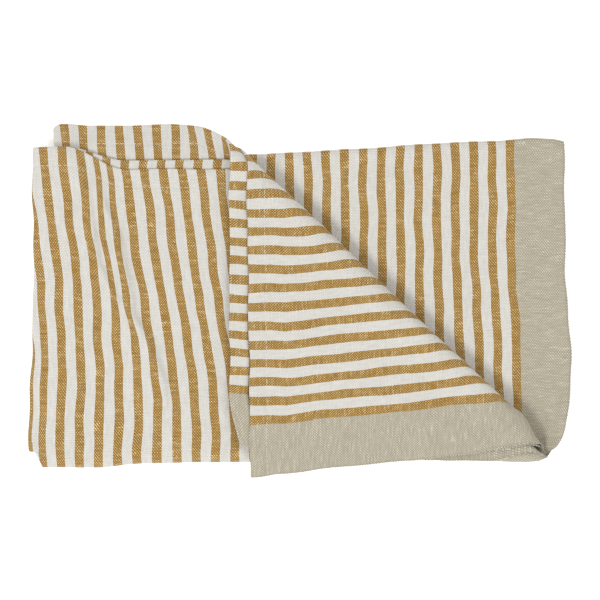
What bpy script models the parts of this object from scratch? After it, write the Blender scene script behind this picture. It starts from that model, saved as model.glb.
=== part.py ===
"""A striped linen tea towel, folded in eight layers with one corner turned over.

The cloth is one sheet. It is folded in half across its width, so that its long fold lies at the left
and its selvedges at the right, then in quarters along its length, back and forth, and at last the
corner of the four upper layers is rolled over a diagonal. Every point of the flat cloth is carried
through those folds by one function, fold(). Metres, +Z up, the towel lying flat as seen from above.
"""

import math

import bmesh
import bpy
import numpy as np

MM = 0.001

# The flat cloth. It is measured along its stripes from hem to hem, and across them.
BAND_WIDTH = 25.6 * MM
STRIPE_PITCH = 9.2 * MM
STRIPE_WIDTH = 4.4 * MM
STRIPE_COUNT = 50
WIDTH = 2 * BAND_WIDTH + (STRIPE_COUNT - 1) * STRIPE_PITCH + STRIPE_WIDTH
THICKNESS = 1.0 * MM

# Heights in the stack: the four passes of the section, two layers each, from the lowest.
LAYER = 1.5 * MM
HEIGHT_B = THICKNESS / 2 + LAYER / 2
HEIGHT_C = HEIGHT_B + 2 * LAYER
HEIGHT_D = HEIGHT_B + 4 * LAYER
HEIGHT_A = HEIGHT_B + 6 * LAYER
HEIGHT_WRAP = (HEIGHT_A + HEIGHT_B) / 2

# Where the passes turn and end, up the towel from its middle.
FOOT = -75.6 * MM
HEAD = 70.4 * MM
HEM_A = 65.0 * MM
HEM_D = 88.0 * MM

# Places along the cloth, from the hem of pass A to the hem of pass D.
WRAP_OUT = 3 * math.pi * LAYER
WRAP_IN = math.pi * LAYER
A_FOOT = HEM_A - FOOT
B_FOOT = A_FOOT + WRAP_OUT
B_HEAD = B_FOOT + HEAD - FOOT
C_HEAD = B_HEAD + WRAP_IN
C_FOOT = C_HEAD + HEAD - FOOT
D_FOOT = C_FOOT + WRAP_IN
LENGTH = D_FOOT + HEM_D - FOOT

# How unevenly it was folded: x of the long fold, how far that fold strays from the middle of the
# cloth, and how much the right-hand side slants up.
STATIONS = (
    # along the cloth, x of fold, stray, slant
    (0.0, -133.4 * MM, -8.5 * MM, 0.065),
    (0.45 * A_FOOT, -132.6 * MM, -1.0 * MM, 0.045),
    (0.70 * A_FOOT, -133.8 * MM, 1.6 * MM, 0.02),
    (A_FOOT, -135.6 * MM, 2.2 * MM, 0.0),
    (B_FOOT, -132.0 * MM, 2.0 * MM, 0.0),
    (B_HEAD, -120.2 * MM, 0.0, 0.061),
    (C_HEAD, -120.0 * MM, 0.0, 0.061),
    (C_FOOT, -119.0 * MM, 0.0, 0.045),
    (D_FOOT, -119.0 * MM, 0.0, 0.045),
    (LENGTH, -123.8 * MM, 8.0 * MM, 0.065),
)
SLANT_FROM = -17.0 * MM

# The diagonal roll of the turned corner. x + y is NOSE along its outermost line. The roll opens out
# from the foot, over ROLL_FREE, and past it the turned layers settle on the towel.
NOSE = 45.9 * MM
ROLL_SLACK = 1.5 * MM
ROLL_PUFF = 2.0 * MM
ROLL_AXIS = HEIGHT_A + LAYER / 2 + ROLL_SLACK
ROLL_REACH = ROLL_AXIS - HEIGHT_D + LAYER / 2 + ROLL_PUFF
SETTLE = 12 * MM
ROLL_FREE = (FOOT - 1 * MM, FOOT + 20 * MM)

# The slanting crease of the top layer: its centre line, its half width and the cloth it takes up.
CREASE = (
    # y, x, half width
    (-50.0 * MM, -69.0 * MM, 10.0 * MM),
    (-25.0 * MM, -78.0 * MM, 6.0 * MM),
    (0.0, -88.0 * MM, 6.0 * MM),
    (30.0 * MM, -91.0 * MM, 11.0 * MM),
    (62.5 * MM, -95.0 * MM, 11.0 * MM),
)
CREASE_TAKE_UP = 8.5 * MM
CREASE_HEIGHT = 2.2 * MM
CREASE_RUN = 6.0 * MM
CREASE_SHIFT = 2.0 * MM
SECOND_CREASE = 0.45
SECOND_CREASE_AT = 2.6 * CREASE_RUN
TAKE_UP_GROWS = (-75 * MM, 35 * MM)
CREASE_GROWS = (-75 * MM, -20 * MM)
CREASE_FADES = (85 * MM, 40 * MM)

# The top layer is pulled towards the roll: its stretch, from where and over what width.
STRETCH = 0.06
STRETCH_FROM = -125 * MM
STRETCH_RUN = 90 * MM
PULL_FADES = (15 * MM, -30 * MM)

# How far the hems stray from a straight line: those of pass A up at the left, those of pass D down.
HEM_GROWS = (-78 * MM, 65 * MM)
HEM_LEFT = (-87 * MM, -118 * MM)
HEM_A_FRONT = 11.0 * MM
HEM_A_BACK = 6.5 * MM
HEM_A_BACK_ALL = 4.5 * MM
HEM_D_FRONT = 11.5 * MM
HEM_D_FRONT_GROWS = (-120 * MM, -70 * MM)
HEM_D_BACK = 5.0 * MM
HEM_D_BACK_GROWS = (-66 * MM, -44 * MM)

# The foot of the outer wrap sags at the left, and the selvedges bulge to the right.
FOOT_SAG = 2.5 * MM
SAG_DOWN = (-50 * MM, -78 * MM)
SAG_LEFT = (-75 * MM, -100 * MM)
BULGE = 4.0 * MM
BULGE_DOWN = (35 * MM, -20 * MM)
BULGE_RIGHT = (60 * MM, 130 * MM)
BULGE_UP = (-85 * MM, -50 * MM)

# The upper passes sink where the lower ones no longer carry them, past their head and past their side.
SINK_HEAD = 5.4 * MM
SINK_HEAD_FROM = 72.5 * MM
SINK_HEAD_SLANT = 0.061
SINK_HEAD_RUN = (-3 * MM, 18 * MM)
SINK_SIDE = 4.2 * MM
SINK_SIDE_FROM = -120 * MM
SINK_SIDE_RUN = (0.0, 15 * MM)

# Cells of the mesh, from the hem of pass A on, and from the long fold outwards.
CELLS_ALONG = (
    # as far as, cells
    (20 * MM, 3),
    (A_FOOT - 10 * MM, 9),
    (A_FOOT, 3),
    (B_FOOT, 8),
    (B_HEAD, 6),
    (C_HEAD, 4),
    (C_FOOT, 7),
    (D_FOOT, 4),
    (D_FOOT + 12 * MM, 5),
    (LENGTH - 30 * MM, 9),
    (LENGTH, 6),
)
CELLS_ACROSS = (
    # as far as, cells
    (22 * MM, 7),
    (64 * MM, 6),
    (218 * MM, 10),
)
SELVEDGE_CELLS = 6
LONG_FOLD_CELLS = 4
ROLL_CELLS = 8
SNAP = 0.2 * MM

CREAM = (0.80, 0.77, 0.70, 1.0)
CLOTH_ROUGHNESS = 0.9


def ease(start, end, value):
    """0 before start, 1 after end, smooth between."""
    part = np.clip((value - start) / (end - start), 0.0, 1.0)
    return part * part * (3.0 - 2.0 * part)


def read_table(table, column, place):
    return np.interp(place, [row[0] for row in table], [row[column] for row in table])


def section(along):
    """Middle line of the back-and-forth section: y, z, and the side and up parts of its normal."""
    y, z, side = np.zeros_like(along), np.zeros_like(along), np.zeros_like(along)
    up = np.ones_like(along)

    def straight(start, end, from_y, way, height, face):
        here = (along >= start) & (along <= end)
        y[here] = from_y + way * (along[here] - start)
        z[here] = height
        up[here] = face

    def wrap(start, end, axis_y, axis_z, radius, way, rise, face):
        here = (along > start) & (along < end)
        turn = (along[here] - start) / radius
        y[here] = axis_y + way * radius * np.sin(turn)
        z[here] = axis_z - rise * radius * np.cos(turn)
        side[here] = face * way * np.sin(turn)
        up[here] = -face * rise * np.cos(turn)

    straight(0.0, A_FOOT, HEM_A, -1.0, HEIGHT_A, 1.0)
    wrap(A_FOOT, B_FOOT, FOOT, HEIGHT_WRAP, 3 * LAYER, -1.0, -1.0, 1.0)
    straight(B_FOOT, B_HEAD, FOOT, 1.0, HEIGHT_B, -1.0)
    wrap(B_HEAD, C_HEAD, HEAD, (HEIGHT_B + HEIGHT_C) / 2, LAYER, 1.0, 1.0, 1.0)
    straight(C_HEAD, C_FOOT, HEAD, -1.0, HEIGHT_C, 1.0)
    wrap(C_FOOT, D_FOOT, FOOT, HEIGHT_WRAP, LAYER, -1.0, 1.0, -1.0)
    straight(D_FOOT, LENGTH, FOOT, 1.0, HEIGHT_D, -1.0)
    return y, z, side, up


def drag(x, y):
    """How far the top layer is pulled sideways: a slight stretch, less what its crease takes up."""
    taken = CREASE_TAKE_UP * ease(*TAKE_UP_GROWS, y)
    middle = read_table(CREASE, 1, y)
    half = read_table(CREASE, 2, y)
    pull = STRETCH * np.clip(x - STRETCH_FROM, 0.0, STRETCH_RUN)
    return (pull - taken * ease(middle - half, middle + half, x)) * ease(*PULL_FADES, x)


def crease_height(x, y):
    """The ridge and trough of the top layer's crease, in its shifted place."""
    strength = ease(*CREASE_GROWS, y) * ease(*CREASE_FADES, y)
    beside = x - read_table(CREASE, 1, y) + CREASE_SHIFT
    ridge = np.exp(-((beside / CREASE_RUN) ** 2))
    second = np.exp(-(((beside - SECOND_CREASE_AT) / CREASE_RUN) ** 2))
    return CREASE_HEIGHT * strength * (ridge + SECOND_CREASE * second)


def roll_arc(z):
    """How much cloth the half turn of the roll takes, for a layer that lies at a height."""
    high = ROLL_AXIS - z
    return math.pi * np.sqrt((high**2 + (high + ROLL_PUFF) ** 2) / 2)


def roll_over(x, y, z, upper):
    """The upper layers beyond the diagonal rolled back over the towel, each at its own radius."""
    beyond = (x + y - NOSE) / math.sqrt(2) + ROLL_REACH
    rolled = np.where(upper, np.maximum(beyond, 0.0) * ease(*ROLL_FREE, y), 0.0)
    high = ROLL_AXIS - z
    wide = high + ROLL_PUFF
    arc = roll_arc(z)
    turn = math.pi * np.clip(rolled / arc, 0.0, 1.0)
    over = np.maximum(rolled - arc, 0.0)
    shift = np.where(rolled > 0, wide * np.sin(turn) - over - rolled, 0.0) / math.sqrt(2)
    lift = np.where(rolled > 0, high * (1 - np.cos(turn)), 0.0)
    settled = (2 * ROLL_SLACK - LAYER) * ease(0.0, SETTLE, over)
    return x + shift, y + shift, z + lift - settled


def before_roll(along, across, out):
    """A point of the cloth folded in half and in quarters, with the corner not yet turned."""
    radius = LAYER / 2
    from_fold = across - WIDTH / 2 - read_table(STATIONS, 2, along)
    turn = np.clip(from_fold / radius, -math.pi / 2, math.pi / 2)
    flat = np.maximum(np.abs(from_fold) - radius * math.pi / 2, 0.0)
    x = read_table(STATIONS, 1, along) + radius - (radius + out) * np.cos(turn) + flat
    lift = -(radius + out) * np.sin(turn)
    y, z, side, up = section(along)
    y, z = y + lift * side, z + lift * up

    on_a = along <= A_FOOT + WRAP_OUT / 2
    on_d = along >= D_FOOT - WRAP_IN / 2
    front = from_fold < 0
    x = x + np.where(on_a & front, drag(x, y), 0.0)
    z = z + np.where(on_a, crease_height(x, y), 0.0)

    left = ease(*HEM_LEFT, x)
    raised = ease(*HEM_GROWS, y) * np.where(front, HEM_A_FRONT * left, HEM_A_BACK_ALL + HEM_A_BACK * left)
    lowered_front = HEM_D_FRONT * ease(*HEM_D_FRONT_GROWS, x)
    lowered_back = HEM_D_BACK * ease(*HEM_D_BACK_GROWS, x)
    lowered = np.where(front, lowered_front, lowered_back) * (y - FOOT) / (HEM_D - FOOT)
    y = y + np.where(on_a, raised, 0.0) - np.where(on_d, lowered, 0.0)
    y = y - FOOT_SAG * ease(*SAG_DOWN, y) * ease(*SAG_LEFT, x)
    return x, y, z, on_a | on_d


def upper_share(along, z):
    """How far a point shares in what the upper passes do: not on B and C, and less and less down a wrap."""
    share = np.where(along < B_FOOT, (z - HEIGHT_B) / (HEIGHT_A - HEIGHT_B), 0.0)
    share = np.where(along > C_FOOT, (z - HEIGHT_C) / (HEIGHT_D - HEIGHT_C), share)
    return np.where((along <= A_FOOT) | (along >= D_FOOT), 1.0, np.clip(share, 0.0, 1.0))


def fold(along, across, out):
    """Where a point of the flat cloth lies, at a height out of the cloth's middle."""
    x, y, z, upper = before_roll(along, across, out)
    share = upper_share(along, z)
    x, y, z = roll_over(x, y, z, upper)
    slanted = np.maximum(x - SLANT_FROM, 0.0)
    y = y + read_table(STATIONS, 3, along) * slanted
    bulge = ease(*BULGE_DOWN, y) * ease(*BULGE_RIGHT, x) * ease(*BULGE_UP, y)
    x = x + BULGE * (1 - share) * bulge
    at_head = SINK_HEAD * ease(*SINK_HEAD_RUN, y - SINK_HEAD_FROM - SINK_HEAD_SLANT * slanted)
    at_side = SINK_SIDE * ease(*SINK_SIDE_RUN, SINK_SIDE_FROM - x)
    return x, y, z - share * np.maximum(at_head, at_side)


def steps(start, end, count):
    return [start + (end - start) * i / count for i in range(count)]


def lines_along():
    lines, start = [], 0.0
    for end, cells in CELLS_ALONG:
        lines += steps(start, end, cells)
        start = end
    return lines + [LENGTH]


def lines_across(along):
    """Places of the mesh lines across the cloth, which keep to the long fold."""
    quarter = LAYER / 2 * math.pi / 2
    middle = WIDTH / 2 + float(read_table(STATIONS, 2, along))
    near, start = [], quarter
    for end, cells in CELLS_ACROSS:
        near += steps(start, end, cells)
        start = end
    front = [middle - d for d in near] + steps(middle - start, 0.0, SELVEDGE_CELLS) + [0.0]
    back = [middle + d for d in near] + steps(middle + start, WIDTH, SELVEDGE_CELLS) + [WIDTH]
    return front[::-1] + [middle + d for d in steps(-quarter, quarter, LONG_FOLD_CELLS)[1:]] + back


def flat_cloth():
    """The flat cloth as a grid of faces, with x along it and y across it."""
    bm = bmesh.new()
    rows = [[bm.verts.new((a, c, 0.0)) for c in lines_across(a)] for a in lines_along()]
    for low, high in zip(rows, rows[1:]):
        for i in range(len(low) - 1):
            bm.faces.new((low[i], high[i], high[i + 1], low[i + 1]))
    return bm


def across_at(along, beyond, front):
    """Where a line at a distance beyond the start of the roll crosses one place along the cloth."""
    middle = WIDTH / 2 + float(read_table(STATIONS, 2, along))
    far = 0.0 if front else WIDTH
    across = np.linspace(middle + (far - middle) * 0.02, far + (far - middle) * 0.3, 400)
    x, y = before_roll(np.full_like(across, along), across, 0.0)[:2]
    return float(np.interp(beyond, (x + y - NOSE) / math.sqrt(2) + ROLL_REACH, across))


def score_rolls(bm):
    """Cuts the flat faces of the four upper layers along the lines at which the roll turns them."""
    for start, end, pass_height, outer in ((0.0, A_FOOT, HEIGHT_A, 1), (D_FOOT, LENGTH, HEIGHT_D, -1)):
        for front in (True, False):
            arc = roll_arc(pass_height + (LAYER / 2 if front else -LAYER / 2) * outer)
            for i in range(ROLL_CELLS + 1):
                beyond = arc * i / ROLL_CELLS
                first = (start, across_at(start, beyond, front))
                last = (end, across_at(end, beyond, front))
                cut_layer(bm, start, end, front, first, last)


def cut_layer(bm, start, end, front, first, last):
    """One straight cut through the faces of one layer of one pass."""

    def inside(face):
        centre = face.calc_center_median()
        past = centre.y - WIDTH / 2 - float(read_table(STATIONS, 2, centre.x))
        return start < centre.x < end and (past < -LAYER if front else past > LAYER)

    faces = [face for face in bm.faces if inside(face)]
    edges = {edge for face in faces for edge in face.edges}
    verts = {vert for face in faces for vert in face.verts}
    along = last[0] - first[0]
    across = last[1] - first[1]
    bmesh.ops.bisect_plane(
        bm,
        geom=list(verts) + list(edges) + faces,
        dist=SNAP,
        plane_co=(first[0], first[1], 0.0),
        plane_no=(across, -along, 0.0),
    )


def folded_mesh(name):
    """The cloth's two faces, folded, and the rim that joins them."""
    bm = flat_cloth()
    score_rolls(bm)
    bmesh.ops.triangulate(bm, faces=bm.faces[:])
    bm.verts.index_update()
    flat = np.array([vert.co[:2] for vert in bm.verts])
    faces = [[vert.index for vert in face.verts] for face in bm.faces]
    rim = [[vert.index for vert in loop_ends(edge)] for edge in bm.edges if edge.is_boundary]
    bm.free()

    sides = [np.stack(fold(flat[:, 0], flat[:, 1], out), axis=1) for out in (THICKNESS / 2, -THICKNESS / 2)]
    points = np.concatenate(sides)
    low, high = points.min(axis=0), points.max(axis=0)
    points -= ((low[0] + high[0]) / 2, (low[1] + high[1]) / 2, 0.0)

    count = len(flat)
    outer = [face[::-1] for face in faces]
    inner = [[i + count for i in face] for face in faces]
    edge = [(a, b, b + count) for a, b in rim] + [(a, b + count, a + count) for a, b in rim]
    mesh = bpy.data.meshes.new(name)
    mesh.from_pydata(points.tolist(), [], outer + inner + edge)
    mesh.validate()
    return mesh


def loop_ends(edge):
    """The ends of a boundary edge in the order in which its one face runs."""
    loop = edge.link_loops[0]
    return loop.vert, loop.link_loop_next.vert


def cloth_material():
    material = bpy.data.materials.new("linen")
    material.use_nodes = True
    shader = material.node_tree.nodes["Principled BSDF"]
    shader.inputs["Base Color"].default_value = CREAM
    shader.inputs["Roughness"].default_value = CLOTH_ROUGHNESS
    shader.inputs["Metallic"].default_value = 0.0
    return material


def main():
    for old in list(bpy.data.objects):
        bpy.data.objects.remove(old)
    mesh = folded_mesh("towel_cloth")
    mesh.materials.append(cloth_material())
    mesh.shade_smooth()
    towel = bpy.data.objects.new("towel_cloth", mesh)
    bpy.context.scene.collection.objects.link(towel)


main()
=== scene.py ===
"""The looks of a striped tea towel, folded in eight layers with one corner turned over.

One flat cloth is folded in half across its width and in quarters along its length, and the corner of
its upper layers is rolled back over a diagonal. fold() carries a point of the flat cloth through these
folds. They are the solid's folds, fitted more closely to the photograph, on finer cells. The cut ends
are turned under as hems. The stripes are woven by the cloth's material, and the hem stitches and the
weft's loops along the selvedges are pieces of their own. Metres, +Z up.
"""

import math
import random

import bmesh
import bpy
import numpy as np
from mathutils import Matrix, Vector

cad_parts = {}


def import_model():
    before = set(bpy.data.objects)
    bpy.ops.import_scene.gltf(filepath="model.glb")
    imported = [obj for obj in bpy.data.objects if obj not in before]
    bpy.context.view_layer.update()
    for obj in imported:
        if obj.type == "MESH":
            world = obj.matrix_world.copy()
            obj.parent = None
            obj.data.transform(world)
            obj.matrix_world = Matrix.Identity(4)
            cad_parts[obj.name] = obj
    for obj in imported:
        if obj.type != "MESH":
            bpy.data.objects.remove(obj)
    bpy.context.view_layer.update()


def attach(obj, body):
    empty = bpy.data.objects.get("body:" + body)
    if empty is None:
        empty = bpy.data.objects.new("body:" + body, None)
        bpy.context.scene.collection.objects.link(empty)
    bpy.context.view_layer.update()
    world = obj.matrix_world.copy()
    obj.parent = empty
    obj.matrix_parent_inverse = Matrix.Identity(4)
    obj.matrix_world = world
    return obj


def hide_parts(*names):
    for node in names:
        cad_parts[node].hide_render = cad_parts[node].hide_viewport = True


MM = 0.001

# The flat cloth. It is measured along its stripes from hem to hem, and across them.
BAND_WIDTH = 24.7 * MM
STRIPE_PITCH = 9.2 * MM
STRIPE_WIDTH = 4.4 * MM
STRIPE_COUNT = 50
WIDTH = 2 * BAND_WIDTH + (STRIPE_COUNT - 1) * STRIPE_PITCH + STRIPE_WIDTH
THICKNESS = 0.66 * MM

# Heights in the stack: the four passes of the section, two layers each, from the lowest.
LAYER = 1.5 * MM
SOLID_THICKNESS = 1.0 * MM
HEIGHT_B = SOLID_THICKNESS / 2 + LAYER / 2
HEIGHT_C = HEIGHT_B + 2 * LAYER
HEIGHT_D = HEIGHT_B + 4 * LAYER
HEIGHT_A = HEIGHT_B + 6 * LAYER
HEIGHT_WRAP = (HEIGHT_A + HEIGHT_B) / 2

# Where the passes turn and end, up the towel from its middle.
FOOT = -75.6 * MM
HEAD = 70.4 * MM
HEM_A = 65.0 * MM
HEM_D = 88.0 * MM

# Places along the cloth, from the hem of pass A to the hem of pass D.
WRAP_OUT = 3 * math.pi * LAYER
WRAP_IN = math.pi * LAYER
A_FOOT = HEM_A - FOOT
B_FOOT = A_FOOT + WRAP_OUT
B_HEAD = B_FOOT + HEAD - FOOT
C_HEAD = B_HEAD + WRAP_IN
C_FOOT = C_HEAD + HEAD - FOOT
D_FOOT = C_FOOT + WRAP_IN
LENGTH = D_FOOT + HEM_D - FOOT

# The shape below is uneven in many small ways. Each has a size, and pairs of places: it grows smoothly
# from nothing at a pair's first place to its full size at the second. RIGHT and LEFT in a pair's name
# say that it grows that way across the towel (x), UP and DOWN that it does so along its side (y).

# The hems: how much cloth each takes, how tightly it turns, and the room that it needs in the stack,
# which the layers above make beside it. The stitches press the outer face in by a share of its height.
HEM = 10.0 * MM
HEM_RADIUS = 0.38 * MM
HEM_ROOM = 0.7 * MM
HEM_ROOM_RUN = (22 * MM, 8 * MM)
STITCH_LINE = 9.2 * MM
STITCH_PRESSED = 0.7
STITCH_PRESSED_RUN = 0.8 * MM

# How unevenly it was folded: x of the long fold, how far that fold strays from the middle of the
# cloth, and how much the cloth slants up to the right of SLANT_FROM.
HEAD_SLANT = 0.061
STATIONS = (
    # place along the cloth, x of fold, stray, slant
    (0.0, -133.4 * MM, -8.5 * MM, 0.065),
    (0.45 * A_FOOT, -132.6 * MM, -1.0 * MM, 0.045),
    (0.70 * A_FOOT, -133.8 * MM, 1.6 * MM, 0.02),
    (A_FOOT, -135.6 * MM, 2.2 * MM, 0.012),
    (B_FOOT, -135.2 * MM, 2.2 * MM, 0.015),
    (B_FOOT + 45 * MM, -131.0 * MM, 1.4 * MM, 0.03),
    (B_HEAD, -120.2 * MM, 0.0, HEAD_SLANT),
    (C_HEAD, -120.0 * MM, 0.0, HEAD_SLANT),
    (C_FOOT, -119.0 * MM, 0.0, 0.026),
    (D_FOOT, -119.0 * MM, 0.0, 0.026),
    (D_FOOT + 14 * MM, -119.4 * MM, 0.7 * MM, 0.046),
    (LENGTH, -123.2 * MM, 7.9 * MM, 0.065),
)
SLANT_FROM = -17.0 * MM

# Near the foot the long fold is a soft one. More of the cloth goes round it to the front and less to
# the back, which is evened out over EDGE_RUN beside the fold, and the upper layers sink there.
EDGE_TURNED = (
    # place along the cloth, cloth that goes round
    (0.40 * A_FOOT, 0.0),
    (0.85 * A_FOOT, 4.6 * MM),
    (B_FOOT, 4.6 * MM),
    (B_FOOT + 45 * MM, 0.0),
)
EDGE_RUN = 4.8 * MM
EDGE_SINK = 2.0 * MM
EDGE_SINK_LEFT = (-129.0 * MM, -136.0 * MM)

# The diagonal roll of the turned corner. x + y is NOSE along its outermost line. At the foot it is
# held back, and it opens out over ROLL_FREE. Past it the turned layers settle on the towel.
NOSE = 45.9 * MM
ROLL_SLACK = 1.5 * MM
ROLL_PUFF = 2.0 * MM
ROLL_AXIS = HEIGHT_A + LAYER / 2 + ROLL_SLACK
ROLL_REACH = ROLL_AXIS - HEIGHT_D + LAYER / 2 + ROLL_PUFF
SETTLE = 12 * MM
ROLL_FREE = (FOOT - 1.5 * MM, FOOT + 20 * MM)
ROLL_HELD = 13 * MM

# The top layer's slanting crease draws its stripes together: how much cloth it takes up, and where.
CREASE = (
    # y, x of its middle, half its width
    (-50.0 * MM, -68.0 * MM, 9.0 * MM),
    (-20.0 * MM, -78.5 * MM, 6.0 * MM),
    (0.0, -89.0 * MM, 6.5 * MM),
    (20.0 * MM, -90.5 * MM, 12.0 * MM),
    (30.0 * MM, -95.0 * MM, 15.0 * MM),
    (45.0 * MM, -94.5 * MM, 12.0 * MM),
    (62.5 * MM, -97.0 * MM, 12.0 * MM),
)
CREASE_TAKE_UP = 5.5 * MM
CREASE_UP = (-68 * MM, 35 * MM)

# The crease itself is two soft folds, each steeper on its right.
FOLDS = (
    # the line (y, x), the height, and the places up the towel between which it grows and fades
    (
        ((0.0, -92.2 * MM), (15 * MM, -101.2 * MM), (42.5 * MM, -105.7 * MM), (57.5 * MM, -110.7 * MM)),
        2.5 * MM,
        (-18 * MM, 2 * MM),
        (70 * MM, 50 * MM),
    ),
    (
        (
            (-40 * MM, -68.2 * MM),
            (-22.5 * MM, -75.7 * MM),
            (-5 * MM, -84.7 * MM),
            (12.5 * MM, -87.2 * MM),
            (30 * MM, -90.7 * MM),
            (50 * MM, -99.7 * MM),
        ),
        2.6 * MM,
        (-66 * MM, -30 * MM),
        (62 * MM, 40 * MM),
    ),
)
FOLD_RUN_LEFT = 7.0 * MM
FOLD_RUN_RIGHT = 2.5 * MM

# The top layer is pulled to the right, towards the roll. It stretches by a share that changes up the
# towel, from STRETCH_FROM on over STRETCH_RUN, and the pull fades out before the roll.
STRETCH = (
    # y, stretch
    (-65 * MM, 0.052),
    (-50 * MM, 0.043),
    (-40 * MM, 0.032),
    (-25 * MM, 0.018),
    (-5 * MM, 0.008),
    (35 * MM, 0.018),
    (60 * MM, 0.025),
)
STRETCH_FROM = -125 * MM
STRETCH_RUN = 90 * MM
PULL_FADES = (15 * MM, -30 * MM)

# The selvedges of passes A and B lie further right than the fold alone would put them.
LOOSE_SELVEDGE = (
    # place along the cloth, shift of its front, shift of its back
    (A_FOOT - 18 * MM, 3.0 * MM, 0.0),
    (A_FOOT, 7.0 * MM, 7.0 * MM),
    (B_FOOT, 7.0 * MM, 7.0 * MM),
    (B_FOOT + 60 * MM, 0.0, 0.0),
)
LOOSE_SELVEDGE_RIGHT = (85 * MM, 116 * MM)

# So does the corner of pass D between its hem and its selvedge.
HEM_D_CORNER = 1.9 * MM
HEM_D_CORNER_ALONG = (LENGTH - 20 * MM, LENGTH - 3 * MM)
HEM_D_CORNER_RIGHT = (107 * MM, 123 * MM)

# How far the back of pass A has slipped to the left near its hem. The slip fades out before the roll.
SLIP_A_BACK = 3.2 * MM
SLIP_A_BACK_RIGHT = (-128 * MM, -88 * MM)
SLIP_A_BACK_LEFT = (20 * MM, -20 * MM)
SLIP_A_BACK_UP = (20 * MM, 60 * MM)

# How far both layers of pass D have slipped to the right near its hem.
SLIP_D = (
    # x, slip
    (-60 * MM, 0.0),
    (-44 * MM, -0.3 * MM),
    (-25 * MM, -1.8 * MM),
    (20 * MM, -1.4 * MM),
    (60 * MM, -0.5 * MM),
    (85 * MM, 0.0),
)
SLIP_D_UP = (52 * MM, 72 * MM)

# How far its front has slipped to the right besides, and how far its selvedge is drawn in.
SLIP_D_FRONT = (
    # y, slip
    (-32 * MM, -2.2 * MM),
    (-20 * MM, -1.9 * MM),
    (-8 * MM, -1.0 * MM),
    (10 * MM, -0.6 * MM),
    (30 * MM, -0.2 * MM),
    (40 * MM, 0.0),
    (50 * MM, 0.2 * MM),
    (60 * MM, 0.8 * MM),
    (69 * MM, 1.1 * MM),
    (76 * MM, 0.2 * MM),
    (80 * MM, 0.0),
)
SELVEDGE_IN = 2.5 * MM
SELVEDGE_IN_RIGHT = (108 * MM, 134 * MM)
SELVEDGE_IN_DOWN = (-28 * MM, -52 * MM)

# How far its back has slipped to the left. Beside the roll it also leans to the left, from LEAN_FROM up.
SLIP_D_BACK = 2.6 * MM
SLIP_D_BACK_RIGHT = (-42 * MM, -28 * MM)
SLIP_D_BACK_MORE = 1.5 * MM
SLIP_D_BACK_MORE_RIGHT = (50 * MM, 85 * MM)
LEAN = 0.16
LEAN_FROM = 75 * MM
LEAN_RIGHT = (-64 * MM, -48 * MM)
LEAN_LEFT = (-36 * MM, -42 * MM)

# How far pass A strays up, more and more towards its hem: both layers at the left, and its back all
# over up to the roll.
HEM_A_UP = (-78 * MM, 65 * MM)
HEM_A_LEFT = (-87 * MM, -118 * MM)
HEM_A_FRONT = 11.0 * MM
HEM_A_BACK = 6.5 * MM
HEM_A_BACK_ALL = 4.5 * MM
HEM_A_BACK_ALL_LEFT = (20 * MM, -30 * MM)

# How far pass D strays down, in proportion to the height up the towel. Each layer does so in two steps.
HEM_D_FRONT = 11.6 * MM
HEM_D_FRONT_RIGHT = (-120 * MM, -70 * MM)
HEM_D_FRONT_MORE = 1.5 * MM
HEM_D_FRONT_MORE_RIGHT = (-30 * MM, 133 * MM)
HEM_D_BACK = 6.5 * MM
HEM_D_BACK_RIGHT = (-54 * MM, -34 * MM)
HEM_D_BACK_MORE = 6.0 * MM
HEM_D_BACK_MORE_RIGHT = (91 * MM, 126 * MM)

# The hem of pass D dips a little besides: that of its back all along, that of its front at the left.
HEM_D_DIPS = (
    # x, dip
    (-123.3 * MM, 2.6 * MM),
    (-121.8 * MM, 1.1 * MM),
    (-119.5 * MM, 0.2 * MM),
    (-116.0 * MM, 0.0),
    (-105.0 * MM, 1.1 * MM),
    (-85.0 * MM, 1.2 * MM),
    (-64.0 * MM, 0.7 * MM),
    (-52.0 * MM, 1.2 * MM),
)
HEM_D_DIPS_UP = (60 * MM, 84 * MM)
HEM_D_DIPS_FRONT_LEFT = (-117.5 * MM, -119.5 * MM)

# The foot sags at the left, and the selvedges of the lower passes bulge to the right.
FOOT_SAG = 2.5 * MM
FOOT_SAG_DOWN = (-50 * MM, -78 * MM)
FOOT_SAG_LEFT = (-75 * MM, -100 * MM)
BULGE = 2.5 * MM
BULGE_DOWN = (22 * MM, -32 * MM)
BULGE_RIGHT = (35 * MM, 95 * MM)
BULGE_UP = (-85 * MM, -50 * MM)

# The upper passes sink where the lower ones no longer carry them, past their head and past their side.
SINK_HEAD = 5.4 * MM
SINK_HEAD_FROM = 72.5 * MM
SINK_HEAD_RUN = (-3 * MM, 18 * MM)
SINK_SIDE = 4.2 * MM
SINK_SIDE_FROM = -120 * MM
SINK_SIDE_RUN = (0.0, 15 * MM)

# The head droops towards the selvedges, and a little more at them.
HEAD_DROOP = 1.5 * MM
HEAD_DROOP_RIGHT = (112 * MM, 128 * MM)
HEAD_END_DROOP = 1.5 * MM
HEAD_END_DROOP_RIGHT = (126 * MM, 133 * MM)
HEAD_DROOP_UP = (58 * MM, 80 * MM)

# The right corner at the foot. There passes C and D are drawn in, and passes A and B sag.
CORNER_IN = 4.5 * MM
CORNER_IN_RIGHT = (112 * MM, 133 * MM)
CORNER_IN_DOWN = (-46 * MM, -84 * MM)
CORNER_SAG = 1.4 * MM
CORNER_SAG_RIGHT = (90 * MM, 114 * MM)
CORNER_SAG_DOWN = (-60 * MM, -78 * MM)

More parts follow.
